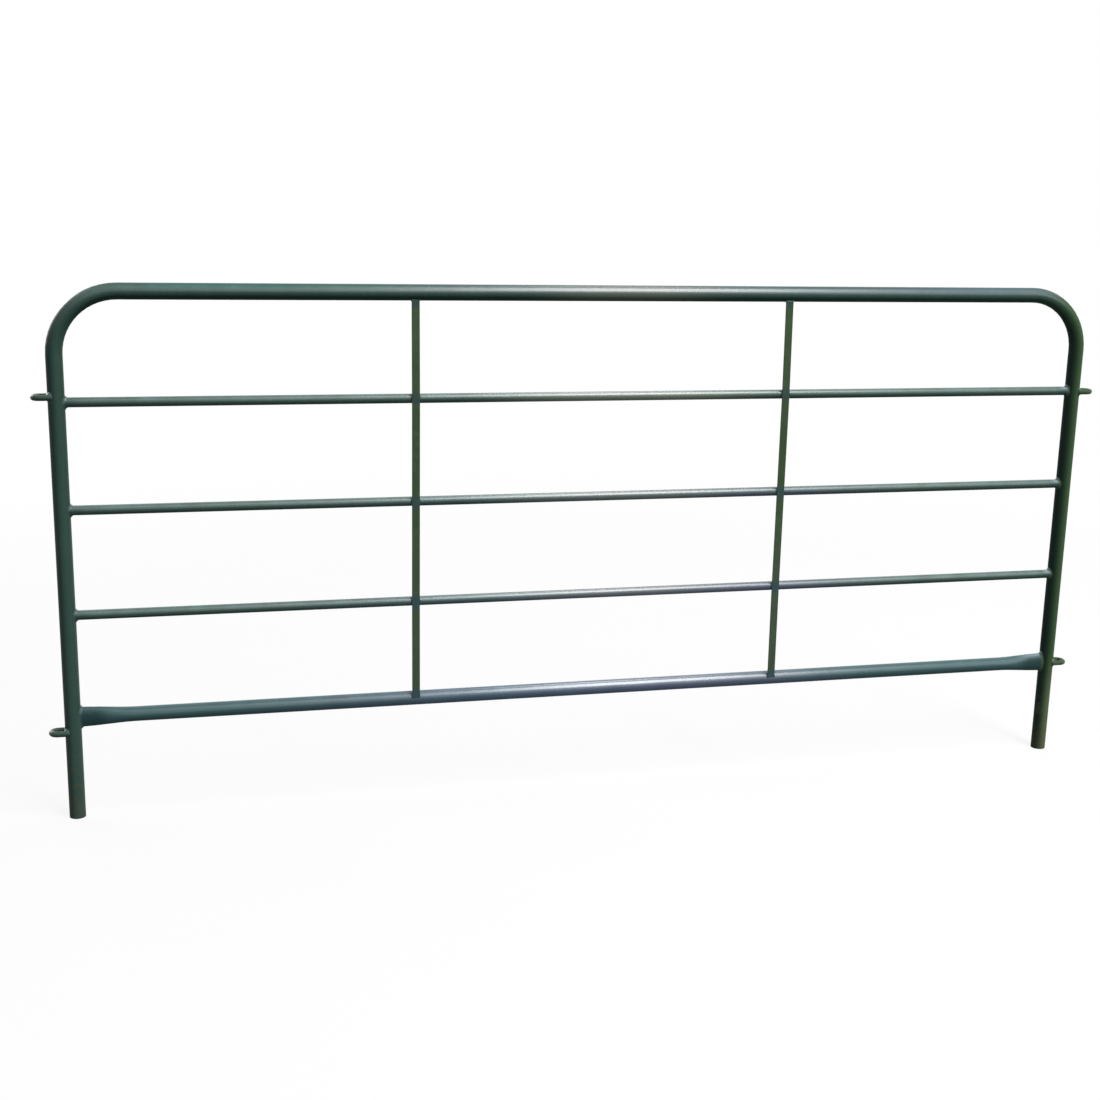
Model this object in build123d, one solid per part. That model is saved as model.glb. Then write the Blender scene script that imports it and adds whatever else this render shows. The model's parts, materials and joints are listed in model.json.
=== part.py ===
from build123d import *
import os
from math import sqrt

# A stock panel welded from steel tube: a bent hoop, four rails across it, two flat stays and four rod loops.
# X runs along the panel, -Y is the side that the stays are on, Z is up, and the feet stand on Z = 0.
# All sizes are in millimetres.

# Hoop: one tube bent into left leg, top rail and right leg
PANEL_LENGTH = 3048.0  # over the outer faces of the two legs
PANEL_HEIGHT = 1479.5  # from the floor to the top of the top rail
HOOP_DIAMETER = 44.45
HOOP_WALL = 1.65
CORNER_RADIUS = 165.0  # of the bends, to the middle of the tube

# Three thin rails, evenly spaced between the top rail and the bottom rail
RAIL_DIAMETER = 26.7
RAIL_WALL = 1.65

# Bottom rail, with its ends squeezed to upright ovals where they meet the legs
BOTTOM_RAIL_HEIGHT = 292.0  # of its axis above the floor
BOTTOM_RAIL_DIAMETER = 41.3
BOTTOM_RAIL_WALL = 1.65
OVAL_THICKNESS = 25.4  # front to back at the squeezed end
SQUEEZE_LENGTH = 150.0  # from the leg to where the tube is round again

# Stays: flat straps down the front of the rails
STAY_SPACING = 1096.0  # between the middles of the two straps
STAY_WIDTH = 22.2
STAY_THICKNESS = 4.8
STAY_EDGE = 0.8  # rounding of the strap's long edges
STAY_ROOT_GAP = 0.2  # between a strap and the thin rails behind it
STAY_TOP_OFFSET = 8.0  # of the strap's middle in front of the top rail's axis
STAY_FOOT_RISE = 5.6  # of the strap's lower end above the bottom rail's axis
STAY_FOOT_TOE = 2.2  # thickness that is left where the foot is fitted to the bottom rail

# Connector loops: bent rod on the outer side of each leg
LOOP_ROD = 15.9
LOOP_PROJECTION = 43.0  # beyond the leg's outer face
LOOP_SET_IN = 5.3  # of a loop arm's axis inside the leg's flank
LOOP_NOTCH = 4.0  # depth of the hollow in the arm's end that fits the leg
RIGHT_LOOP_RISE = -2.0  # of the right leg's loops above the axis of the rail beside them
UPPER_LOOP_CLEARANCE = 0.6  # between the upper loops of two pinned panels, the left one on the right one
LOWER_LOOP_SLACK = 24.0  # between their lower loops, left under right, for uneven ground

# Weld beads
WELD_LEG = 6.0  # along each of the two pieces
WELD_TOE = 0.6  # step at a bead's outer edge
BEAD_LENGTH = 16.0  # of the short beads beside a strap
BEAD_RADIUS = 5.5
BEAD_SINK = 1.5  # of a short bead's axis below the rail's surface

# Places that follow from the sizes above
hoop_radius = HOOP_DIAMETER / 2
rail_radius = RAIL_DIAMETER / 2
bottom_rail_radius = BOTTOM_RAIL_DIAMETER / 2
rod_radius = LOOP_ROD / 2
leg_x = PANEL_LENGTH / 2 - hoop_radius
leg_face_x = leg_x - hoop_radius
top_z = PANEL_HEIGHT - hoop_radius
bottom_z = BOTTOM_RAIL_HEIGHT
rail_pitch = (top_z - bottom_z) / 4
upper_z = top_z - rail_pitch
middle_z = upper_z - rail_pitch
lower_z = middle_z - rail_pitch
right_loop_z = {"upper": upper_z + RIGHT_LOOP_RISE, "lower": bottom_z + RIGHT_LOOP_RISE}
left_loop_z = {
    "upper": right_loop_z["upper"] + LOOP_ROD + UPPER_LOOP_CLEARANCE,
    "lower": right_loop_z["lower"] - LOOP_ROD - LOWER_LOOP_SLACK,
}

# The squeezed tube keeps its girth, so it grows as tall as it loses in thickness
oval_half_thickness = OVAL_THICKNESS / 2
oval_half_height = BOTTOM_RAIL_DIAMETER - oval_half_thickness

SIDES = {"left": -1, "right": 1}


def across(x, z):
    """Plane square to a rail at x, with its first axis upright."""
    return Plane(origin=(x, 0, z), x_dir=(0, 0, 1), z_dir=(1, 0, 0))


def hoop_tube(section):
    """A section carried up the left leg, along the top and down the right leg."""
    corners = [(-leg_x, 0, 0), (-leg_x, 0, top_z), (leg_x, 0, top_z), (leg_x, 0, 0)]
    path = FilletPolyline(*corners, radius=CORNER_RADIUS)
    return sweep(Plane(origin=corners[0]) * section, path=path)


def round_bar(radius, z):
    """A straight round bar from the axis of one leg to the axis of the other."""
    return Pos(0, 0, z) * Rot(0, 90, 0) * Cylinder(radius, 2 * leg_x)


def squeezed_bar(inset):
    """The bottom rail's form: round along its length and oval at both ends, all of it smaller by inset."""
    round_x = leg_face_x - SQUEEZE_LENGTH
    radius = bottom_rail_radius - inset
    bar = Pos(0, 0, bottom_z) * Rot(0, 90, 0) * Cylinder(radius, 2 * round_x)
    for side in SIDES.values():
        sections = []
        for step in (0, 0.25, 0.5, 0.75, 1):
            squeeze = step * step * (3 - 2 * step)
            half_height = radius + squeeze * (oval_half_height - bottom_rail_radius)
            half_thickness = radius + squeeze * (oval_half_thickness - bottom_rail_radius)
            place = across(side * (round_x + step * SQUEEZE_LENGTH), bottom_z)
            outline = Ellipse(half_height, half_thickness) if step else Circle(radius)
            sections.append(place * outline)
        end_face = across(side * leg_face_x, bottom_z) * Ellipse(half_height, half_thickness)
        bar += loft(sections)
        bar += extrude(end_face, amount=hoop_radius, dir=(side, 0, 0))
    return bar


def stay_form(x):
    """A strap that lies against the thin rails, leans back to the top rail and forward to the bottom rail."""
    rail_y = -(rail_radius + STAY_ROOT_GAP + STAY_THICKNESS / 2)
    foot_surface = sqrt(bottom_rail_radius**2 - STAY_FOOT_RISE**2)
    foot_y = -(foot_surface + STAY_FOOT_TOE - STAY_THICKNESS / 2)
    middle_line = [
        (-STAY_TOP_OFFSET, top_z),
        (rail_y, upper_z),
        (rail_y, lower_z),
        (foot_y, bottom_z + STAY_FOOT_RISE),
    ]
    back = [(y + STAY_THICKNESS / 2, z) for y, z in middle_line]
    front = [(y - STAY_THICKNESS / 2, z) for y, z in middle_line]
    edge = Polyline(*back, *reversed(front), close=True)
    strap = extrude(Plane.YZ * make_face(edge), amount=STAY_WIDTH / 2, both=True)
    long_edges = [e for e in strap.edges() if abs(e.tangent_at(0.5).Z) > 0.9]
    return Pos(x, 0, 0) * fillet(long_edges, STAY_EDGE)


def loop_form(side, z):
    """A rod bent to a level U, with its two arms reaching back over the leg's outer flank."""
    bend = hoop_radius - LOOP_SET_IN
    start_x = side * (leg_x + loop_arm_start())
    bend_x = side * (leg_x + hoop_radius + LOOP_PROJECTION - rod_radius - bend)
    tip_x = bend_x + side * bend
    front_arm = Line((start_x, -bend, z), (bend_x, -bend, z))
    eye = ThreePointArc((bend_x, -bend, z), (tip_x, 0, z), (bend_x, bend, z))
    back_arm = Line((bend_x, bend, z), (start_x, bend, z))
    rod = Plane(origin=front_arm @ 0, z_dir=front_arm % 0) * Circle(rod_radius)
    return sweep(rod, path=Wire([front_arm, eye, back_arm]))


def loop_arm_start():
    """Distance of an arm's end from the leg's axis, so that the leg hollows it by the notch."""
    return sqrt(hoop_radius**2 - (hoop_radius - LOOP_SET_IN) ** 2) - LOOP_NOTCH


def rail_end_weld(side, z, half_height, half_thickness):
    """A fillet all around a rail's end, before the rail and the leg are cut out of it."""
    wide = Ellipse(half_height + WELD_LEG, half_thickness + WELD_LEG)
    narrow = Ellipse(half_height + WELD_TOE, half_thickness + WELD_TOE)
    if half_height == half_thickness:
        wide = Circle(half_height + WELD_LEG)
        narrow = Circle(half_height + WELD_TOE)
    toe = across(side * (leg_face_x - WELD_LEG), z) * narrow
    root = across(side * leg_face_x, z) * wide
    return loft([toe, root]) + extrude(root, amount=hoop_radius, dir=(side, 0, 0))


def stay_top_weld(x):
    """A fillet around the top end of a strap, before the strap and the top rail are cut out of it."""
    seat_y = STAY_TOP_OFFSET + STAY_THICKNESS / 2
    root_z = top_z - sqrt(hoop_radius**2 - seat_y**2)
    wide = Rectangle(STAY_WIDTH + 2 * WELD_LEG, STAY_THICKNESS + 2 * WELD_LEG)
    narrow = Rectangle(STAY_WIDTH + 2 * WELD_TOE, STAY_THICKNESS + 2 * WELD_TOE)
    root = Pos(x, -STAY_TOP_OFFSET, root_z) * wide
    toe = Pos(x, -STAY_TOP_OFFSET, root_z - WELD_LEG) * narrow
    return loft([toe, root]) + extrude(root, amount=hoop_radius / 2)


def short_bead(x, y, z):
    """A short upright bead that runs out to a point at both ends."""
    arc = ThreePointArc((0, -BEAD_LENGTH / 2), (BEAD_RADIUS, 0), (0, BEAD_LENGTH / 2))
    chord = Line((0, BEAD_LENGTH / 2), (0, -BEAD_LENGTH / 2))
    lens = Plane.XZ * make_face([arc, chord])
    return Pos(x, y, z) * revolve(lens, Axis.Z)


def beads_beside_stay(x, y, z):
    """The two short beads along the edges of a strap, without the strip that the strap takes up."""
    strip = Pos(x, y, z) * Box(STAY_WIDTH, 2 * HOOP_DIAMETER, 2 * BEAD_LENGTH)
    edges = (x - STAY_WIDTH / 2, x + STAY_WIDTH / 2)
    return [short_bead(edge_x, y, z) - strip for edge_x in edges]


def loop_arm_weld(side, arm, z):
    """A fillet around one arm of a loop, close to the leg, before the arm and the leg are cut out of it."""
    start = loop_arm_start()
    length = hoop_radius + WELD_LEG / 2 - start
    taper = Rot(0, 90 * side, 0) * Cone(rod_radius + WELD_LEG, rod_radius + WELD_TOE, length)
    place = Pos(side * (leg_x + start + length / 2), arm * (hoop_radius - LOOP_SET_IN), z)
    near_leg = Pos(side * leg_x, 0, z) * Cylinder(hoop_radius + WELD_LEG, 4 * LOOP_ROD)
    return place * taper & near_leg


def save(node, *solids):
    """Writes one node, which is one solid or a group of like solids."""
    shape = solids[0] if len(solids) == 1 else Compound(children=list(solids))
    shape.label = node
    export_step(shape, os.path.join("parts", node + ".step"))


os.makedirs("parts", exist_ok=True)

# Hoop, and the full round form of it that everything welded to it is fitted against
hoop_full = hoop_tube(Circle(hoop_radius))
save("hoop", hoop_tube(Circle(hoop_radius) - Circle(hoop_radius - HOOP_WALL)))

# Three thin rails and the welds at their ends
for name, rail_z in (("upper", upper_z), ("middle", middle_z), ("lower", lower_z)):
    rail_full = round_bar(rail_radius, rail_z)
    save(name + "_rail", rail_full - round_bar(rail_radius - RAIL_WALL, rail_z) - hoop_full)
    for side_name, side in SIDES.items():
        weld = rail_end_weld(side, rail_z, rail_radius, rail_radius)
        save(f"{name}_rail_{side_name}_weld", weld - hoop_full - rail_full)

# Bottom rail and the welds at its ends
bottom_full = squeezed_bar(0)
save("bottom_rail", bottom_full - squeezed_bar(BOTTOM_RAIL_WALL) - hoop_full)
for side_name, side in SIDES.items():
    weld = rail_end_weld(side, bottom_z, oval_half_height, oval_half_thickness)
    save(f"bottom_rail_{side_name}_weld", weld - hoop_full - bottom_full)

# Stays and the welds that hold them to the top rail, the thin rails and the bottom rail
for side_name, side in SIDES.items():
    x = side * STAY_SPACING / 2
    stay = stay_form(x) - hoop_full - bottom_full
    save(side_name + "_stay", stay)
    save(side_name + "_stay_top_weld", stay_top_weld(x) - hoop_full - stay)
    rail_beads = []
    for rail_z in (upper_z, middle_z, lower_z):
        for bead in beads_beside_stay(x, BEAD_SINK - rail_radius, rail_z):
            rail_beads.append(bead - round_bar(rail_radius, rail_z))
    save(side_name + "_stay_rail_welds", *rail_beads)
    foot_z = STAY_FOOT_RISE + BEAD_SINK
    foot_y = BEAD_SINK - sqrt(bottom_rail_radius**2 - foot_z**2)
    foot_beads = beads_beside_stay(x, foot_y, bottom_z + foot_z)
    save(side_name + "_stay_foot_welds", *[bead - bottom_full for bead in foot_beads])

# Connector loops near the upper rail and the bottom rail, and the welds on their arms
for side_name, loop_z in (("left", left_loop_z), ("right", right_loop_z)):
    side = SIDES[side_name]
    for name, z in loop_z.items():
        loop = loop_form(side, z) - hoop_full
        save(f"{name}_{side_name}_loop", loop)
        arm_welds = [loop_arm_weld(side, arm, z) - hoop_full - loop for arm in (-1, 1)]
        save(f"{name}_{side_name}_loop_welds", *arm_welds)
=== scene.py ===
import json
import math

import bmesh
import bpy
from mathutils import Matrix, Vector, noise


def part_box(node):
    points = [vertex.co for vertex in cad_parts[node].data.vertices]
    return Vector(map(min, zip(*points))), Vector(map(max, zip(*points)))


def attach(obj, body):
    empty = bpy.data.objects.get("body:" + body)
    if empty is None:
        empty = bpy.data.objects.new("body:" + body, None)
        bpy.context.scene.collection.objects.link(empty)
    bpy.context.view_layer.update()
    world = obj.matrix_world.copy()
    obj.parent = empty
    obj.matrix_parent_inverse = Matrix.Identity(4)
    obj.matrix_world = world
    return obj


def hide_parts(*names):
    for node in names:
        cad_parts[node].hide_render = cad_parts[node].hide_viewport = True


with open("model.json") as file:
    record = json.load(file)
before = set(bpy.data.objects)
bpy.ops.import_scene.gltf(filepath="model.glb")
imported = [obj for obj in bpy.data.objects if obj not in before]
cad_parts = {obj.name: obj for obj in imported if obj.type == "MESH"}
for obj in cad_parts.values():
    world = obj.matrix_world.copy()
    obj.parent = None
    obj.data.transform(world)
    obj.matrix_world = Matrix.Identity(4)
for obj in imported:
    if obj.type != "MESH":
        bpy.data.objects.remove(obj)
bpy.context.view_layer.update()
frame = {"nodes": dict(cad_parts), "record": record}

nodes = frame["nodes"]

# Lengths are in metres and colours are linear. X runs along the panel, -Y is the side with the straps.

# Camera at the photograph's viewing angle, with turns in degrees and the lens in millimetres
CAMERA_PLACE = (-1.2098, -4.241, 1.7333)
CAMERA_YAW = 14.0
CAMERA_PITCH = 13.07
CAMERA_ROLL = 1.18
SENSOR = 36.0
FOCAL_LENGTH = 50.5

# Enamel, fresh and faded, and painted light and shade on it
ENAMEL_GREEN = (0.015, 0.049, 0.038)
ENAMEL_FADED = (0.026, 0.068, 0.055)
PAINTED_SKY_BLUE = (0.020, 0.052, 0.090)
BOTTOM_GREEN = (0.018, 0.045, 0.047)
BOTTOM_FADED = (0.032, 0.067, 0.074)
BOTTOM_TEAL = (0.020, 0.085, 0.090)
STRAP_GREEN = (0.023, 0.054, 0.016)
STRAP_FADED = (0.046, 0.080, 0.036)
STRAP_GREY = (0.053, 0.072, 0.056)
ROD_GREEN = (0.013, 0.038, 0.024)
ROD_FADED = (0.022, 0.054, 0.034)
PAINTED_LIGHT_GREEN = (0.013, 0.049, 0.027)
PAINTED_SHADE_GREEN = (0.007, 0.026, 0.020)
RIGHT_SHADE_GREEN = (0.007, 0.017, 0.0125)
RIGHT_LIGHT_GREEN = (0.046, 0.092, 0.036)
UNDERSIDE_SHADE = (0.003, 0.012, 0.005)

# Chalked, worn and touched-up paint, and painted sky reflections, sheen and glints
CHALK = (0.15, 0.29, 0.27)
CHALK_BLUE = (0.13, 0.31, 0.38)
PALE_GLINT = (0.33, 0.42, 0.48)
TEAL_CHALK_AND_SHEEN = (0.08, 0.27, 0.25)
SKY_CHALK_AND_SHEEN = (0.20, 0.28, 0.36)
BLEACHED_BROWN = (0.095, 0.112, 0.090)
BLEACHED_KHAKI = (0.150, 0.170, 0.130)
PAINTED_SKY_SLATE = (0.085, 0.080, 0.160)
PAINTED_SKY_TINT = (0.080, 0.136, 0.230)
TOUCH_UP = (0.007, 0.033, 0.034)
JOINT_GREY = (0.024, 0.052, 0.047)
JOINT_BLUE = (0.027, 0.062, 0.075)

# Dirt and bare spots
RUST = (0.034, 0.030, 0.022)
PRIMER = (0.095, 0.092, 0.080)
SOIL = (0.090, 0.088, 0.052)
FOOT_STAIN = (0.100, 0.135, 0.065)

# Features of the paint per metre, or per metre along X, Y and Z where they are drawn out
PATCHES = 2.1
CLOUDS = 15.0
MOTTLES = 70.0
GRAINS = 420.0
STREAKS = (110.0, 110.0, 2.2)
SCRATCHES = (3.0, 420.0, 420.0)
SPLASHES = 46.0
CHIPS = 85.0
STRAP_PATCHES = 32.0
STRAP_ISLANDS = 21.0

# Where finishes change along the panel: a middle, and how far from it the change starts and is complete
BLUE_MIDDLE = -0.1
BLUE_SPAN = (1.1, 0.2)
TEAL_SPAN = (0.5, 1.0)  # from the blue's middle
SLATE_MIDDLE = 0.3
SLATE_SPAN = (0.75, 0.15)
RUBBED_MIDDLE = 0.22
RUBBED_SPAN = (0.70, 0.15)
BLEACHED_MIDDLE = 0.06
BLEACHED_TOP_SPAN = (0.36, 0.06)
BLEACHED_RAIL_SPAN = (0.50, 0.10)
SHEEN_ENDS_MIDDLE = 0.15
SHEEN_ENDS_SPAN = (0.55, 1.15)
BEND_SPAN = (1.45, 1.15)  # from the panel's middle
TOP_WELDS_SPAN = (1.2, 0.8)  # from the panel's middle

# Where finishes change from left to right, and how far from a leg's axis its finish starts and is full
BLUE_STRETCH_X = (-0.7, 0.0)
SKY_X = (-0.3, 0.8)
RIGHT_STRAP_X = (-0.2, 0.2)
RIGHT_TOP_WELD_X = (-0.5, 0.5)
LEFT_LEG_REACH = (0.12, 0.03)
RIGHT_LEG_REACH = (0.15, 0.02)

# Heights at which a finish starts to change and has changed
BLEACHED_HEIGHTS = (1.0, 1.1)
SLATE_HEIGHTS = (1.15, 0.6)
JOINT_HEIGHTS = (1.1, 0.45)
LEG_SHADE_HEIGHTS = (0.75, 1.25)
LEG_SUN_HEIGHTS = (0.6, 1.15)
STRAP_GREY_HEIGHTS = (0.95, 0.55)
STRAP_DARK_HEIGHTS = (0.75, 1.05)
STAIN_HEIGHTS = (0.36, 0.10)
SPLASH_HEIGHTS = (0.30, 0.0)
FILM_HEIGHTS = (0.12, 0.0)
FOOT_CHIP_HEIGHTS = (0.12, 0.01)

# Touched-up paint around the welds
RAIL_TOUCH_UP = 0.045  # from the leg along a thin rail
BOTTOM_TOUCH_UP = 0.09
RAIL_GLINT_END = 0.035
BOTTOM_GLINT_END = 0.10
STRAP_TOUCH_UP = 0.019  # up and down a strap from a rail
FOOT_TOUCH_UP = 0.030
BRUSH_EDGE = 0.009  # half of the brushed edge's width
RAGGED_BRUSH = 0.035  # how far that edge wanders
RAGGED_SOOT = 0.05  # how far the soot's edge wanders along a rail
# Painted highlight on the beads under the top rail: how far below the top rail's axis it starts and is full
GLINT_WELD_DROP = (0.045, 0.03)  # of the pale welds below the top rail's axis

# Gloss and fine relief of all enamel
COAT_ROUGHNESS = 0.26
RELIEF_STRENGTH = 0.35
RELIEF_DEPTH = 0.0004

# Straps and weld beads as the solids have them
STAY_THICKNESS = 0.0048
STAY_TOP_Y = -0.008
STAY_GAP = 0.0002  # between a strap and the thin rails behind it
WELD_LEG = 0.006
BEAD_LENGTH = 0.016  # of the beads beside a strap

# Rippled weld beads
BEAD_WIDTH = 0.0072
BEAD_FILL = 0.96  # mean breadth, as a share of the width
BEAD_WAVER = 0.14  # change of breadth, as a share of the width
WAVERS = 90.0  # changes of breadth per metre
BEAD_HOLLOW = 0.11  # depth of a bead's hollow face, as a share of its breadth
HOLLOW_WAVER = 0.3  # change of that depth, as a share of it
HOLLOWS = 140.0  # changes of that depth per metre
BEAD_MARGIN = 0.002  # that a bead may stand out of its node's box
BEAD_SINK = 0.0002  # of a bead's edges below the steel
ROOT_DEPTH = 0.001  # of a bead's root below the corner that it fills
EDGE_ROOT_DEPTH = 0.0008  # the same beside a strap
RIPPLE_PITCH = 0.0031
RIPPLE_HEIGHT = 0.00032
RIPPLE_BOW = 1.1  # how far a ripple curves across the bead
RIPPLE_STEPS = 6  # stations in a ripple
PROFILE_STEPS = 8  # across a bead
CORNER_STEPS = 6  # stations around a strap's corner
STRAP_BEAD = 0.55  # breadth of the beads along straps, as a share of the others
STRAP_CORNER = 0.5  # rounding of a bead around a strap's corner, as a share of half the strap's thickness
STRAP_COVER = 0.8  # share of a strap's thickness that the beads beside it cover
END_SWELL = 0.15  # breadth at the ends of a short bead, as a share of its middle
SWELL_POWER = 0.6  # the less, the sooner a short bead has its full breadth

# Floor and surrounding light
FLOOR_SIZE = 80.0
FLOOR_GREY = (0.30, 0.30, 0.30)
FLOOR_PALE = (0.95, 0.95, 0.95)
WHITE = (1.0, 1.0, 1.0, 1.0)
NEAR_WHITE = 0.86  # share of plain white in the floor near the panel, where the rest shows the shadow
WHITE_DISTANCES = (2.2, 6.0)
AMBIENT = 0.08

SIDES = {"left": -1, "right": 1}
THIN_RAILS = ("upper", "middle", "lower")


def corners(node):
    """Lowest and highest corner of a node's box."""
    low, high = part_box(node)
    return Vector(low), Vector(high)


def middle_and_half(node):
    """Middle and half size of a node's box."""
    low, high = corners(node)
    return (low + high) / 2, (high - low) / 2


# Places read off the frame
hoop_low, hoop_high = corners("hoop")
tube_radius = (hoop_high.y - hoop_low.y) / 2
leg_x = hoop_high.x - tube_radius
leg_face_x = leg_x - tube_radius
top_z = hoop_high.z - tube_radius
rail_z = {rail: middle_and_half(rail + "_rail")[0].z for rail in (*THIN_RAILS, "bottom")}
rail_radius = middle_and_half("upper_rail")[1].z
bottom_radius = middle_and_half("bottom_rail")[1].y


class Value:
    """A shader socket that takes part in Python arithmetic by adding Math nodes."""

    def __init__(self, finish, socket):
        self.finish = finish
        self.socket = socket

    def _math(self, operation, *values):
        return self.finish.add("ShaderNodeMath", {"operation": operation}, *values)[0]

    def __add__(self, other):
        return self._math("ADD", self, other)

    def __radd__(self, other):
        return self._math("ADD", other, self)

    def __sub__(self, other):
        return self._math("SUBTRACT", self, other)

    def __rsub__(self, other):
        return self._math("SUBTRACT", other, self)

    def __mul__(self, other):
        return self._math("MULTIPLY", self, other)

    def __rmul__(self, other):
        return self._math("MULTIPLY", other, self)

    def __abs__(self):
        return self._math("ABSOLUTE", self)

    def most(self, other):
        """The larger of two values."""
        return self._math("MAXIMUM", self, other)

    def limited(self):
        """The value, kept between 0 and 1."""
        return self.finish.add("ShaderNodeClamp", {}, self)[0]

    def ramp(self, low, high):
        """A smooth step from 0 at low to 1 at high."""
        if low > high:
            return 1 - self.ramp(high, low)
        settings = {"interpolation_type": "SMOOTHSTEP"}
        return self.finish.add("ShaderNodeMapRange", settings, self, low, high, 0.0, 1.0)[0]


class Finish:
    """The nodes of one procedural material, or of the world."""

    def __init__(self, owner):
        owner.use_nodes = True
        self.owner = owner
        self.tree = owner.node_tree
        self.tree.nodes.clear()

    def add(self, kind, settings, *values, **named):
        """Adds a node, sets it up, fills or links its sockets and returns its outputs."""
        node = self.tree.nodes.new(kind)
        for key, value in settings.items():
            setattr(node, key, value)
        in_order = zip([socket for socket in node.inputs if socket.enabled], values)
        by_name = [(node.inputs[key], value) for key, value in named.items()]
        for socket, value in (*in_order, *by_name):
            if isinstance(value, Value):
                self.tree.links.new(value.socket, socket)
            else:
                socket.default_value = value
        return [Value(self, socket) for socket in node.outputs if socket.enabled]

    def mix(self, factor, first, second):
        """Blends two colours."""
        colours = [c if isinstance(c, Value) else (*c, 1.0) for c in (first, second)]
        return self.add("ShaderNodeMix", {"data_type": "RGBA"}, factor, *colours)[0]

    def stretched(self, place, scales):
        """A place with its three axes drawn out or pressed together."""
        return self.add("ShaderNodeVectorMath", {"operation": "MULTIPLY"}, place, scales)[0]

    def noise(self, place, scale, detail=3.0, roughness=0.55):
        """Noise from 0 to 1 with features about 1/scale metres wide."""
        return self.add("ShaderNodeTexNoise", {}, place, scale, detail, roughness)[0]

    def flakes(self, place, scale):
        """Distance from the nearest of scattered points, and a random number for each point."""
        distance, colour = self.add("ShaderNodeTexVoronoi", {}, place, scale)[:2]
        return distance, self.add("ShaderNodeSeparateColor", {}, colour)[0]

    def seen(self):
        """1 for what the camera sees, also in gloss or through glass, and 0 for all other light."""
        camera_ray, _, _, glossy_ray, _, _, transmission_ray = self.add("ShaderNodeLightPath", {})[:7]
        return (camera_ray + glossy_ray + transmission_ray).limited()


class Enamel(Finish):
    """Enamel on steel, faded in patches, with painted shade and dullness on its downward faces, that layers
    of wear and dirt then cover.
    """

    def __init__(self, name, fresh, faded, gloss, peel, crest=(-0.10, 0.60)):
        super().__init__(bpy.data.materials.new(name))
        self.place, normal = self.add("ShaderNodeNewGeometry", {})[:2]
        self.east, _, self.facing = self.add("ShaderNodeSeparateXYZ", {}, normal)
        self.along, _, self.height = self.add("ShaderNodeSeparateXYZ", {}, self.place)
        self.patches = self.noise(self.place, PATCHES)
        self.cloud = self.noise(self.place, CLOUDS)
        self.mottle = self.noise(self.place, MOTTLES)
        self.grain = self.noise(self.place, GRAINS, detail=2.0)
        self.up = self.facing.ramp(0.0, 0.95)
        self.upright = 1 - abs(self.facing).ramp(0.2, 0.8)
        down = self.facing.ramp(0.05, -0.65)

        worn = (self.patches * 0.7 + self.cloud * 0.5 - 0.12).limited()
        self.colour = self.mix(worn * 0.8, fresh, faded)
        self.roughness = 0.50 + (worn - 0.5) * 0.15 + (self.mottle - 0.5) * 0.12
        self.shine = gloss * (0.25 + 0.75 * self.facing.ramp(*crest)) * (0.86 + 0.28 * self.cloud)
        self.relief = self.mottle * peel * 1.5 + self.grain * peel
        # Painted shade: faces turned down get a darker copy of the fresh paint, duller and without gloss.
        dark = tuple(0.3 * c for c in fresh)
        self.layer(down * 0.75, dark, dull=0.25, hides=1.2)

    def layer(self, amount, tint, dull=0.0, hides=0.0, raised=0.0):
        """Covers part of the surface: dull adds roughness, hides takes gloss away, raised lifts it."""
        self.colour = self.mix(amount, self.colour, tint)
        if dull:
            self.roughness = self.roughness + amount * dull
        if hides:
            self.shine = self.shine * (1 - amount * hides).limited()
        if raised:
            self.relief = self.relief + amount * raised

    def done(self, coat_ior, under_coat=0.12):
        """Joins the layers in one shader and gives the material; under_coat is the gloss below the coat."""
        relief = {"Strength": RELIEF_STRENGTH, "Distance": RELIEF_DEPTH, "Height": self.relief}
        bump = self.add("ShaderNodeBump", {}, **relief)[0]
        shader = self.add("ShaderNodeBsdfPrincipled", {}, **{
            "Base Color": self.colour,
            "Roughness": self.roughness.limited(),
            "Specular IOR Level": under_coat,
            "Coat Weight": self.shine.limited(),
            "Coat Roughness": COAT_ROUGHNESS,
            "Coat IOR": coat_ior,
            "Normal": bump,
        })[0]
        self.add("ShaderNodeOutputMaterial", {}, shader)
        return self.owner


# Wear of the paint

def weathered(f, faded, chalk, chalky, matt=0.0):
    """Pale streaks down upright faces, and powdery paint on top."""
    streaks = f.noise(f.stretched(f.place, STREAKS), 1.0)
    f.layer(f.upright * streaks.ramp(0.50, 0.72) * 0.35, faded, raised=0.12)
    powder = f.up * (f.cloud * 0.95 + f.mottle * 0.18).ramp(0.2, 0.95)
    f.layer(powder * chalky, chalk, dull=0.35, hides=matt)


def burnt_ends(f, reach, sooty):
    """Dark touched-up paint under the last stretch of a rail, next to the legs."""
    ragged = (f.cloud - 0.5) * RAGGED_SOOT
    near_leg = (abs(f.along) + ragged).ramp(leg_face_x - reach, leg_face_x - reach * 0.5)
    under = 0.35 + 0.65 * f.facing.ramp(0.75, 0.1)
    f.layer(near_leg * under * sooty, TOUCH_UP, hides=0.7)


def painted_end_glints(f, reach):
    """Painted glint on top of a rail's right end, next to the weld."""
    near_leg = f.along.ramp(leg_face_x - reach, leg_face_x - reach * 0.2)
    f.layer(near_leg * f.facing.ramp(0.25, 0.85) * 0.6, PALE_GLINT)


def painted_sky_middle(f, blue, slate):
    """Painted sky reflection along a rail's middle: blue, and slate on a stretch right of it, most on the
    low rails.
    """
    low = f.height.ramp(*SLATE_HEIGHTS) * (0.7 + 0.6 * (f.cloud - 0.5))
    f.layer(abs(f.along - BLUE_MIDDLE).ramp(*BLUE_SPAN) * low * blue, PAINTED_SKY_TINT)
    f.layer(abs(f.along - SLATE_MIDDLE).ramp(*SLATE_SPAN) * low * slate, PAINTED_SKY_SLATE)


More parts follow.
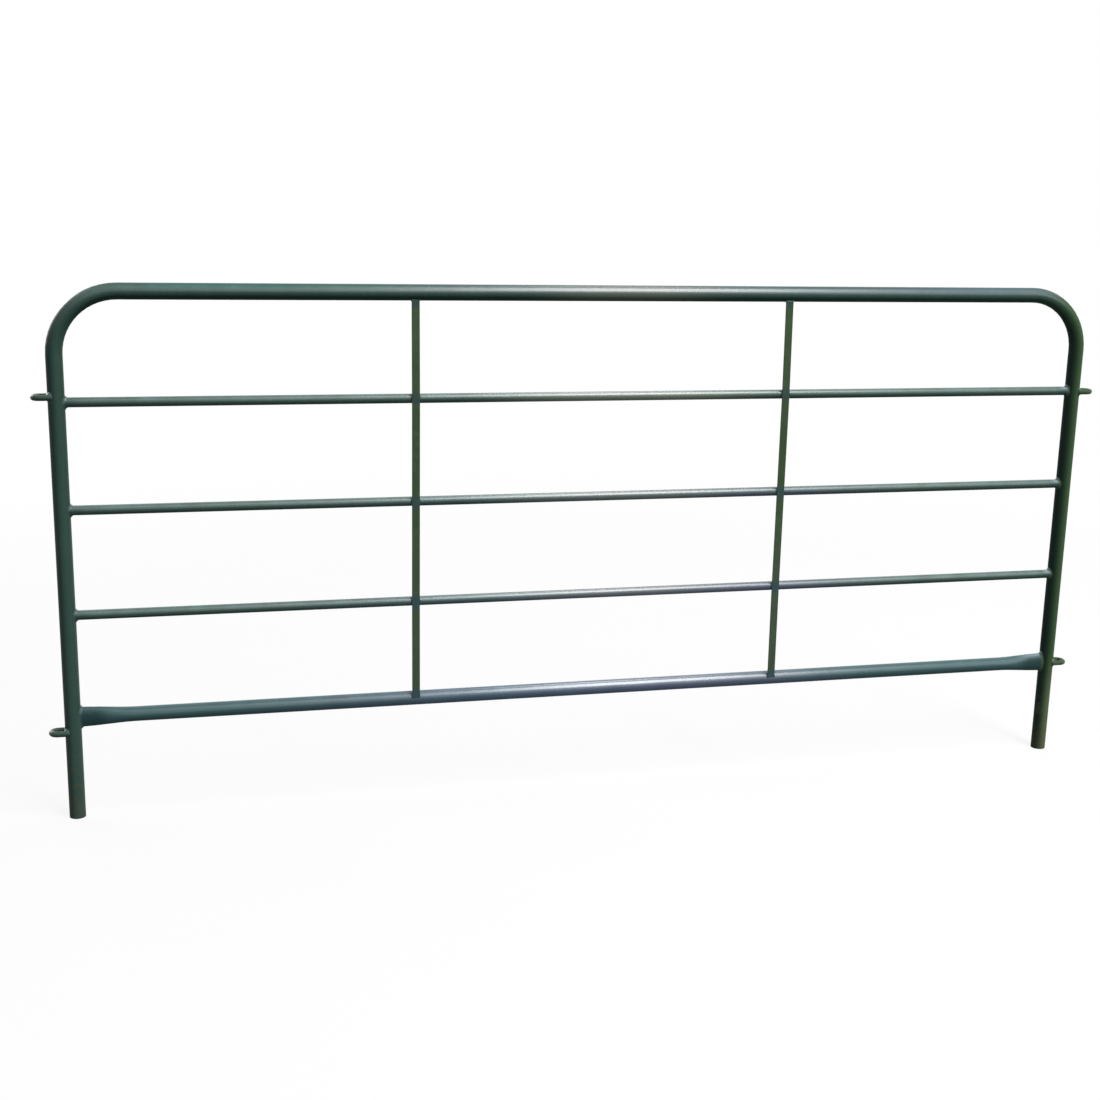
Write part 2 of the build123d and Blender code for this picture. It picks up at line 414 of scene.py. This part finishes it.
def bleached_top(f):
    """The top rail has bleached brown at its middle."""
    f.layer(abs(f.along - BLEACHED_MIDDLE).ramp(*BLEACHED_TOP_SPAN) * 0.62, BLEACHED_BROWN)


def bleached_rail(f):
    """The thin rails have bleached khaki at their middle, the upper one most."""
    middle = abs(f.along - BLEACHED_MIDDLE).ramp(*BLEACHED_RAIL_SPAN)
    f.layer(middle * (0.3 + 0.3 * f.height.ramp(*BLEACHED_HEIGHTS)), BLEACHED_KHAKI)


def rubbed_middle(f):
    """The bottom rail is rubbed glossy along the middle, and duller and more teal towards its ends."""
    ends = abs(f.along - BLUE_MIDDLE).ramp(*TEAL_SPAN)
    f.layer(ends * (0.25 + 0.45 * f.facing.ramp(-0.4, 0.4)), BOTTOM_TEAL)
    f.shine = f.shine * (0.56 + 0.44 * abs(f.along - RUBBED_MIDDLE).ramp(*RUBBED_SPAN))


def dull_crest(f):
    """The very top of the hoop has lost its gloss."""
    f.layer(f.facing.ramp(0.70, 0.88) * 0.5, ENAMEL_FADED, hides=1.0)


def painted_sky_stretch(f):
    """Painted sky reflection: the top rail's upper side is bluer from its middle to the right bend."""
    stretch = f.along.ramp(*BLUE_STRETCH_X) * abs(f.along).ramp(*BEND_SPAN)
    f.layer(stretch * f.facing.ramp(-0.3, 0.3) * 0.3, PAINTED_SKY_BLUE)


def chalk_and_sheen_ends(f):
    """The top rail is matt on the way to both bends, where fewer hands and hides rub it, with chalky paint
    and a painted teal and sky-blue sheen on top.
    """
    ends = abs(f.along - SHEEN_ENDS_MIDDLE).ramp(*SHEEN_ENDS_SPAN) * abs(f.along).ramp(*BEND_SPAN)
    tint = f.mix(f.along.ramp(*SKY_X), TEAL_CHALK_AND_SHEEN, SKY_CHALK_AND_SHEEN)
    f.layer(ends * f.facing.ramp(0.15, 0.6) * 0.25, tint, hides=2.0)


def painted_underside_shade(f):
    """Painted shade: the top rail's underside is a nearly black green, without gloss."""
    f.layer(f.facing.ramp(-0.15, -0.7) * 0.5, UNDERSIDE_SHADE, hides=1.0)


def left_leg_light_and_shade(f):
    """Painted light and shade on the left leg: lighter green where it faces the panel, and painted shade on
    its outer side and towards the bend.
    """
    start, full = LEFT_LEG_REACH
    leg = f.along.ramp(start - leg_x, full - leg_x) * f.upright
    f.layer(leg * f.height.ramp(*LEG_SHADE_HEIGHTS) * 0.3, PAINTED_SHADE_GREEN, hides=0.8)
    f.layer(leg * f.east.ramp(0.2, 0.8) * (0.3 + 0.4 * f.height.ramp(*LEG_SUN_HEIGHTS)), PAINTED_LIGHT_GREEN)
    f.layer(leg * f.east.ramp(0.0, -0.65) * 0.6, PAINTED_SHADE_GREEN, hides=0.9)


def right_end_light_and_shade(f, hides):
    """Painted shade on the right end's side towards the panel, painted light on its outer side, and a stain
    low down outside.
    """
    start, full = RIGHT_LEG_REACH
    leg = f.along.ramp(leg_x - start, leg_x - full)
    shade_to_light = f.mix(f.east.ramp(-1.0, 0.75), RIGHT_SHADE_GREEN, RIGHT_LIGHT_GREEN)
    f.layer(leg * 0.95, shade_to_light, dull=0.1, hides=hides)
    f.layer(leg * f.east.ramp(0.4, 0.95) * 0.6, ENAMEL_FADED)
    stain = f.height.ramp(*STAIN_HEIGHTS) * f.east.ramp(-0.9, 0.6) * (0.6 + 0.6 * f.cloud)
    f.layer(leg * stain, FOOT_STAIN)


def strap_shades(f):
    """The straps are greyer low down, and the right one is darker at the top."""
    f.layer(f.height.ramp(*STRAP_GREY_HEIGHTS) * 0.4, STRAP_GREY)
    f.layer(f.along.ramp(*RIGHT_STRAP_X) * f.height.ramp(*STRAP_DARK_HEIGHTS) * 0.45, STRAP_GREEN)


def strap_blotches(f):
    """Faded and fresh paint in blotches about as wide as a strap."""
    f.layer(f.noise(f.place, STRAP_PATCHES).ramp(0.46, 0.62) * 0.7, STRAP_FADED)
    f.layer(f.noise(f.place, STRAP_ISLANDS).ramp(0.54, 0.66) * 0.5, STRAP_GREEN)


def retouched(f):
    """Brushed-on tube paint over the welds of a strap, with ragged ends."""
    joints = [(top_z - tube_radius, STRAP_TOUCH_UP)]
    joints += [(rail_z[rail], STRAP_TOUCH_UP) for rail in THIN_RAILS]
    joints += [(rail_z["bottom"], FOOT_TOUCH_UP)]
    ragged = (f.mottle - 0.5) * RAGGED_BRUSH
    near = [(abs(f.height - z) + ragged).ramp(reach + BRUSH_EDGE, reach - BRUSH_EDGE) for z, reach in joints]
    mask = near[0]
    for other in near[1:]:
        mask = mask.most(other)
    f.layer(mask * 0.85, f.mix(f.height.ramp(*JOINT_HEIGHTS), JOINT_GREY, JOINT_BLUE), raised=0.4)


def painted_top_weld_glints(f):
    """Painted highlight on the beads under the top rail, the right one most."""
    lower, upper = GLINT_WELD_DROP
    top = f.height.ramp(top_z - lower, top_z - upper) * abs(f.along).ramp(*TOP_WELDS_SPAN)
    f.layer(top * (0.2 + 0.4 * f.along.ramp(*RIGHT_TOP_WELD_X)), PALE_GLINT)


def knocks(f, chipped):
    """Mud splashed near the floor, fine scratches along the tubes, and chips down to primer and rust."""
    splashes = f.height.ramp(*SPLASH_HEIGHTS) * f.noise(f.place, SPLASHES, detail=4.0).ramp(0.46, 0.68)
    film = f.height.ramp(*FILM_HEIGHTS) * (0.2 + 0.4 * f.cloud)
    f.layer(splashes.most(film) * 0.7, SOIL, dull=0.4, hides=1.1, raised=0.7)
    scratches = f.noise(f.stretched(f.place, SCRATCHES), 1.0, detail=2.0).ramp(0.70, 0.76)
    f.layer(scratches * f.patches.ramp(0.40, 0.62) * 0.25, PRIMER, hides=0.8, raised=-0.1)
    distance, chance = f.flakes(f.place, CHIPS)
    exposed = f.height.ramp(*FOOT_CHIP_HEIGHTS).most(chipped)
    reach = chance.ramp(0.86, 1.0) * f.cloud.ramp(0.38, 0.66) * exposed
    ragged = distance + (f.grain - 0.5) * 0.22
    f.layer((reach * 0.95 - ragged).ramp(0.0, 0.30) * 0.3, RUST)
    bare = f.mix(f.mottle.ramp(0.4, 0.6), PRIMER, RUST)
    f.layer((reach * 0.55 - ragged).ramp(0.0, 0.05), bare, dull=0.25, hides=1.0, raised=-0.6)


# Finishes

def hoop_enamel():
    f = Enamel("hoop_enamel", ENAMEL_GREEN, ENAMEL_FADED, gloss=1.0, peel=0.02, crest=(-0.02, 0.30))
    weathered(f, ENAMEL_FADED, CHALK, chalky=0.38, matt=0.6)
    dull_crest(f)
    painted_sky_stretch(f)
    chalk_and_sheen_ends(f)
    bleached_top(f)
    painted_underside_shade(f)
    left_leg_light_and_shade(f)
    right_end_light_and_shade(f, hides=1.0)
    knocks(f, chipped=0.35)
    return f.done(coat_ior=1.68, under_coat=0.04)


def rail_enamel():
    f = Enamel("rail_enamel", ENAMEL_GREEN, ENAMEL_FADED, gloss=1.0, peel=0.02)
    weathered(f, ENAMEL_FADED, CHALK, chalky=0.62, matt=0.5)
    painted_sky_middle(f, blue=0.25, slate=0.65)
    bleached_rail(f)
    burnt_ends(f, RAIL_TOUCH_UP, sooty=0.4)
    painted_end_glints(f, RAIL_GLINT_END)
    knocks(f, chipped=0.28)
    return f.done(coat_ior=1.8)


def bottom_rail_enamel():
    f = Enamel("bottom_rail_enamel", BOTTOM_GREEN, BOTTOM_FADED, gloss=1.0, peel=0.02)
    weathered(f, BOTTOM_FADED, CHALK_BLUE, chalky=0.42)
    painted_sky_middle(f, blue=0.57, slate=0.45)
    rubbed_middle(f)
    burnt_ends(f, BOTTOM_TOUCH_UP, sooty=0.85)
    painted_end_glints(f, BOTTOM_GLINT_END)
    knocks(f, chipped=0.35)
    return f.done(coat_ior=1.85)


def strap_enamel():
    f = Enamel("strap_enamel", STRAP_GREEN, STRAP_FADED, gloss=0.35, peel=0.4)
    strap_blotches(f)
    weathered(f, STRAP_FADED, CHALK, chalky=0.3)
    strap_shades(f)
    retouched(f)
    knocks(f, chipped=0.45)
    return f.done(coat_ior=1.5)


def rod_enamel():
    f = Enamel("rod_enamel", ROD_GREEN, ROD_FADED, gloss=0.6, peel=0.2)
    weathered(f, ROD_FADED, CHALK, chalky=0.2)
    # Painted shade and light on the right-hand loops
    right_end_light_and_shade(f, hides=0.6)
    knocks(f, chipped=1.1)
    return f.done(coat_ior=1.5)


def weld_enamel():
    f = Enamel("weld_enamel", ENAMEL_GREEN, ENAMEL_FADED, gloss=1.0, peel=0.2)
    f.layer(f.mottle.ramp(0.35, 0.65) * 0.7, TOUCH_UP)
    # Painted shade and light on the right-hand beads
    right_end_light_and_shade(f, hides=0.2)
    weathered(f, ENAMEL_FADED, CHALK_BLUE, chalky=0.35)
    painted_top_weld_glints(f)
    knocks(f, chipped=0.4)
    return f.done(coat_ior=1.6)


def dress(piece, material):
    """Puts one finish on all faces of a piece."""
    piece.data.materials.clear()
    piece.data.materials.append(material)


# Finishes by node, or else by material slot
FINISHES = {
    "hoop": hoop_enamel(),
    "bottom_rail": bottom_rail_enamel(),
    "tube_paint": rail_enamel(),
    "strap_paint": strap_enamel(),
    "rod_paint": rod_enamel(),
    "weld_paint": weld_enamel(),
}
for part in frame["record"]["subparts"]:
    dress(nodes[part["node"]], FINISHES.get(part["node"], FINISHES[part["material_slot"]]))


# Weld beads are runs of stations, each with two edges, the way out, and a root in the corner between them

def on_leg(point, side):
    """The point just under a leg's surface that is nearest to a point, and the way out of the leg there."""
    out = Vector((point.x - side * leg_x, point.y, 0)).normalized()
    return Vector((side * leg_x, 0, point.z)) + out * (tube_radius - BEAD_SINK), out


def under_top_rail(x, y):
    """The point just inside the top rail's underside at a place of the plan."""
    return Vector((x, y, top_z - math.sqrt(tube_radius**2 - y**2) + BEAD_SINK))


def breadth(place):
    """A bead's breadth at a place, as uneven as a welder's hand leaves it."""
    return BEAD_WIDTH * (BEAD_FILL + BEAD_WAVER * noise.noise(place * WAVERS))


def rail_end_run(side, z, half_height, half_thickness):
    """Stations around a rail's end, where it meets a leg."""
    girth = math.tau * (half_height + half_thickness) / 2
    count = round(girth / RIPPLE_PITCH) * RIPPLE_STEPS
    stations = []
    for i in range(count):
        turn = math.tau * i / count
        y = half_thickness * math.sin(turn)
        height = z + half_height * math.cos(turn)
        corner = Vector((side * (leg_x - math.sqrt(tube_radius**2 - y**2)), y, height))
        off_rail = Vector((0, math.sin(turn) / half_thickness, math.cos(turn) / half_height)).normalized()
        wide = breadth(corner)
        on_rail = corner + Vector((-side, 0, 0)) * wide - off_rail * BEAD_SINK
        _, off_leg = on_leg(corner, side)
        slide = (off_rail - off_leg * off_rail.dot(off_leg)).normalized()
        leg_edge, off_leg = on_leg(corner + slide * wide, side)
        outward = (off_rail + off_leg).normalized()
        stations.append((on_rail, leg_edge, outward, corner - outward * ROOT_DEPTH))
    return stations


def strap_outline(half_width, half_thickness):
    """Points around a strap's section with rounded corners, each with the way out of the strap."""
    corner_radius = half_thickness * STRAP_CORNER
    ways = [Vector(way) for way in ((1, 0), (0, 1), (-1, 0), (0, -1))]
    outline = []
    for way, after in zip(ways, ways[1:] + ways[:1]):
        start, end = (Vector((p.x * half_width, p.y * half_thickness)) for p in (way - after, way + after))
        start += after * corner_radius
        end -= after * corner_radius
        steps = max(2, round((end - start).length / RIPPLE_PITCH * RIPPLE_STEPS))
        outline += [(start.lerp(end, i / steps), way) for i in range(steps)]
        centre = end - way * corner_radius
        turns = [way.lerp(after, i / CORNER_STEPS).normalized() for i in range(CORNER_STEPS)]
        outline += [(centre + turn * corner_radius, turn) for turn in turns]
    return outline


def stay_top_run(x, half_width):
    """Stations around the top end of a strap, under the top rail."""
    stations = []
    for spot, way in strap_outline(half_width, STAY_THICKNESS / 2):
        corner = under_top_rail(x + spot.x, STAY_TOP_Y + spot.y)
        wide = breadth(corner) * STRAP_BEAD
        off_strap = Vector((way.x, way.y, 0))
        on_strap = corner - Vector((0, 0, wide)) - off_strap * BEAD_SINK
        edge = spot + way * wide
        on_rail = under_top_rail(x + edge.x, STAY_TOP_Y + edge.y)
        off_rail = Vector((0, on_rail.y, on_rail.z - top_z)).normalized()
        outward = (off_strap + off_rail).normalized()
        stations.append((on_strap, on_rail, outward, corner - outward * ROOT_DEPTH))
    return stations


def stay_edge_run(edge_x, side, rail_middle, radius, span, strap_back):
    """Stations up one edge of a strap, in the corner between the strap and the rail behind it."""
    low, high = span
    count = round((high - low) / RIPPLE_PITCH) * RIPPLE_STEPS
    outward = Vector((side, -1, 0)).normalized()
    stations = []
    for i in range(count + 1):
        share = i / count
        z = low + (high - low) * share
        swell = END_SWELL + (1 - END_SWELL) * math.sin(math.pi * share) ** SWELL_POWER
        wide = breadth(Vector((edge_x, 0, z))) * swell * STRAP_BEAD
        rail_face = -math.sqrt(radius**2 - (z - rail_middle) ** 2)
        inside_x = edge_x - side * BEAD_SINK
        on_rail = Vector((edge_x + side * wide, rail_face + BEAD_SINK, z))
        on_strap = Vector((inside_x, strap_back - STAY_THICKNESS * STRAP_COVER * swell, z))
        root = Vector((inside_x, rail_face + EDGE_ROOT_DEPTH, z))
        stations.append((on_rail, on_strap, outward, root))
    return stations


def loop_arm_run(side, arm_y, z, rod_radius, arm_start):
    """Stations around one arm of a loop, where it meets a leg."""
    count = round(math.tau * rod_radius / RIPPLE_PITCH) * RIPPLE_STEPS
    stations = []
    for i in range(count):
        turn = math.tau * i / count
        off_rod = Vector((0, math.sin(turn), math.cos(turn)))
        y = arm_y + rod_radius * off_rod.y
        reach = max(math.sqrt(max(tube_radius**2 - y**2, 0)), arm_start)
        corner = Vector((side * (leg_x + reach), y, z + rod_radius * off_rod.z))
        wide = breadth(corner)
        on_rod = corner + Vector((side * wide, 0, 0)) - off_rod * BEAD_SINK
        leg_edge, off_leg = on_leg(corner + off_rod * wide, side)
        outward = (off_rod + off_leg).normalized()
        stations.append((on_rod, leg_edge, outward, corner - outward * ROOT_DEPTH))
    return stations


def bead_rings(stations, low, high):
    """Closed outlines across a bead, with the ripples that the puddle leaves, kept between two corners."""
    rings = []
    run = 0.0
    before = stations[0][3]
    for first, second, outward, root in stations:
        run += (root - before).length
        before = root
        gap = (second - first).length
        hollow = gap * BEAD_HOLLOW * (1 + HOLLOW_WAVER * noise.noise(root * HOLLOWS))
        ripple = RIPPLE_HEIGHT * min(1.0, gap / BEAD_WIDTH)
        ring = []
        for k in range(PROFILE_STEPS + 1):
            t = k / PROFILE_STEPS
            phase = run / RIPPLE_PITCH + RIPPLE_BOW * (t - 0.5) ** 2
            scallop = 1 - (2 * (phase % 1) - 1) ** 2
            lift = (ripple * scallop - hollow) * math.sin(math.pi * t)
            ring.append(first.lerp(second, t) + outward * lift)
        ring.append(root)
        rings.append([Vector(min(max(v, a), b) for v, a, b in zip(point, low, high)) for point in ring])
    return rings


def weld(node, runs, closed):
    """Stands rippled beads in for a weld node; a closed run ends where it starts."""
    low, high = corners(node)
    margin = Vector((BEAD_MARGIN, BEAD_MARGIN, BEAD_MARGIN))
    form = bmesh.new()
    for stations in runs:
        outlines = bead_rings(stations, low - margin, high + margin)
        rings = [[form.verts.new(point) for point in outline] for outline in outlines]
        after = rings[1:] + rings[:1] if closed else rings[1:]
        for one, two in zip(rings, after):
            for k in range(len(one)):
                j = (k + 1) % len(one)
                form.faces.new((one[k], one[j], two[j], two[k]))
        if not closed:
            form.faces.new(rings[0])
            form.faces.new(reversed(rings[-1]))
    bmesh.ops.recalc_face_normals(form, faces=form.faces)
    for face in form.faces:
        face.smooth = True
    mesh = bpy.data.meshes.new(node + "_beads")
    form.to_mesh(mesh)
    form.free()
    piece = bpy.data.objects.new(node + "_beads", mesh)
    bpy.context.scene.collection.objects.link(piece)
    dress(piece, FINISHES["weld_paint"])
    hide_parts(node)
    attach(piece, "root")


def weld_rail(rail):
    """Beads around both ends of a rail."""
    half_height = middle_and_half(rail + "_rail")[1].z
    half_thickness = middle_and_half(rail + "_rail_left_weld")[1].y - WELD_LEG
    for name, side in SIDES.items():
        run = rail_end_run(side, rail_z[rail], half_height, half_thickness)
        weld(f"{rail}_rail_{name}_weld", [run], closed=True)


def weld_stay(stay):
    """Beads around the top end of a strap and along its edges at the thin rails and at the bottom rail."""
    low, high = corners(stay)
    middle_x = (low.x + high.x) / 2
    half_width = (high.x - low.x) / 2
    edges = [(middle_x + side * half_width, side) for side in SIDES.values()]
    weld(stay + "_top_weld", [stay_top_run(middle_x, half_width)], closed=True)
    runs = []
    for rail in THIN_RAILS:
        z = rail_z[rail]
        span = (z - BEAD_LENGTH / 2, z + BEAD_LENGTH / 2)
        runs += [stay_edge_run(x, side, z, rail_radius, span, -rail_radius - STAY_GAP) for x, side in edges]
    weld(stay + "_rail_welds", runs, closed=False)
    foot_low, foot_high = corners(stay + "_foot_welds")
    span = (foot_low.z, foot_high.z)
    foot_back = low.y + STAY_THICKNESS
    runs = [stay_edge_run(x, side, rail_z["bottom"], bottom_radius, span, foot_back) for x, side in edges]
    weld(stay + "_foot_welds", runs, closed=False)


def weld_loop(loop, side):
    """Beads around both arms of a loop."""
    middle, half = middle_and_half(loop)
    rod_radius = half.z
    arm_y = half.y - rod_radius
    arm_start = min(abs(corner.x) for corner in corners(loop)) - leg_x
    runs = [loop_arm_run(side, arm * arm_y, middle.z, rod_radius, arm_start) for arm in (-1, 1)]
    weld(loop + "_welds", runs, closed=True)


for rail in rail_z:
    weld_rail(rail)
for name, side in SIDES.items():
    weld_stay(name + "_stay")
    for level in ("upper", "lower"):
        weld_loop(f"{level}_{name}_loop", side)


# Floor, plain white to the camera except for the panel's shadow
bpy.ops.mesh.primitive_plane_add(size=FLOOR_SIZE)
floor = bpy.context.object
floor.name = "floor"
f = Finish(bpy.data.materials.new("pale_floor"))
seen = f.seen()
place = f.add("ShaderNodeNewGeometry", {})[0]
away = f.add("ShaderNodeVectorMath", {"operation": "LENGTH"}, place)[0]
matt = f.add("ShaderNodeBsdfDiffuse", {}, f.mix(seen, FLOOR_GREY, FLOOR_PALE))[0]
glow = f.add("ShaderNodeEmission", {}, WHITE, 1.0)[0]
whiteness = NEAR_WHITE + (1 - NEAR_WHITE) * away.ramp(*WHITE_DISTANCES)
f.add("ShaderNodeOutputMaterial", {}, f.add("ShaderNodeMixShader", {}, seen * whiteness, matt, glow)[0])
floor.data.materials.append(f.owner)

# World, white to the camera and dim as a light
studio = Finish(bpy.data.worlds.new("studio"))
dim = studio.add("ShaderNodeBackground", {}, WHITE, AMBIENT)[0]
white = studio.add("ShaderNodeBackground", {}, WHITE, 1.0)[0]
backdrop = studio.add("ShaderNodeMixShader", {}, studio.seen(), dim, white)[0]
studio.add("ShaderNodeOutputWorld", {}, backdrop)
bpy.context.scene.world = studio.owner


def soft_lamp(name, place, target, size, radiance):
    """A rectangular lamp, as bright as radiance says where 1 is white."""
    width, depth = size
    lamp = bpy.data.lights.new(name, "AREA")
    lamp.shape = "RECTANGLE"
    lamp.size = width
    lamp.size_y = depth
    lamp.energy = math.pi * width * depth * radiance
    holder = bpy.data.objects.new(name, lamp)
    bpy.context.scene.collection.objects.link(holder)
    holder.location = place
    holder.rotation_euler = (Vector(target) - Vector(place)).to_track_quat("-Z", "Y").to_euler()


# Lamps
MIDDLE = (0.2, 0.0, 0.8)
soft_lamp("bank_lamp", (3.4, -6.0, 8.2), MIDDLE, size=(11.0, 12.0), radiance=0.65)
soft_lamp("front_lamp", (3.5, -11.0, 2.6), MIDDLE, size=(12.0, 5.0), radiance=1.15)
soft_lamp("side_lamp", (9.0, -5.0, 2.5), MIDDLE, size=(5.0, 4.0), radiance=3.0)
soft_lamp("back_lamp", (-7.0, 9.0, 4.5), MIDDLE, size=(9.0, 6.0), radiance=3.2)
soft_lamp("key_lamp", (3.1, -5.4, 9.3), (3.1, 0.0, 0.8), size=(2.6, 9.0), radiance=12.0)
soft_lamp("ridge_lamp", (2.4, 3.0, 9.2), (2.4, 0.0, 0.8), size=(1.6, 4.6), radiance=6.5)

# Camera
lens = bpy.data.cameras.new("camera")
lens.sensor_width = SENSOR
lens.lens = FOCAL_LENGTH
camera = bpy.data.objects.new("camera", lens)
bpy.context.scene.collection.objects.link(camera)
turn = (Matrix.Rotation(math.radians(-CAMERA_YAW), 4, "Z")
        @ Matrix.Rotation(math.radians(90 - CAMERA_PITCH), 4, "X")
        @ Matrix.Rotation(math.radians(CAMERA_ROLL), 4, "Z"))
camera.matrix_world = Matrix.Translation(CAMERA_PLACE) @ turn
bpy.context.scene.camera = camera
bpy.context.scene.view_settings.view_transform = "Standard"
